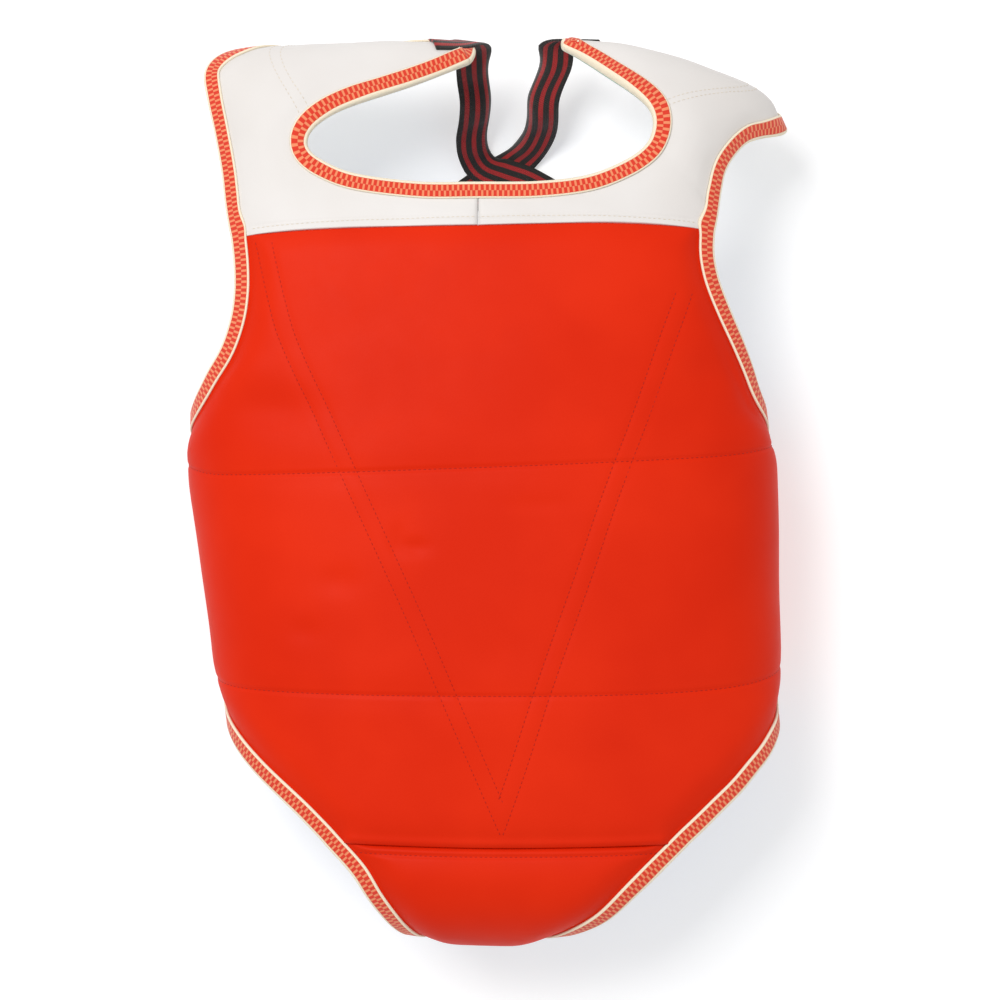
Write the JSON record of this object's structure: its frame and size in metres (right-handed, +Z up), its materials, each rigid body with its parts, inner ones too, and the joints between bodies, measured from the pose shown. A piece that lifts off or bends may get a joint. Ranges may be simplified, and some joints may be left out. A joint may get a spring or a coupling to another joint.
{
  "type": "chest guard",
  "caption": "Reversible padded chest guard that wraps the chest and sides, with a white shoulder yoke, bound edges and crossed webbing straps, lying chest up.",
  "frame": {"origin": "centre of the bounding box's base, on the floor under the chest", "axes": "+Y towards the neck, +Z up out of the chest, +X to the right as seen from above with the neck at the top"},
  "size_m": [0.4083, 0.6196, 0.1681],
  "materials": {
    "red_vinyl": "satin",
    "white_vinyl": "satin",
    "binding_tape": "woven",
    "webbing": "woven"
  },
  "bodies": {
    "root": {"torso_pad": "red_vinyl", "lower_flap": "red_vinyl", "yoke_left": "white_vinyl", "yoke_right": "white_vinyl", "neck_binding": "binding_tape", "armhole_binding_left": "binding_tape", "armhole_binding_right": "binding_tape", "wing_binding_left": "binding_tape", "wing_binding_right": "binding_tape", "hem_binding": "binding_tape", "strap_left": "webbing", "strap_right": "webbing"}
  },
  "joints": []
}
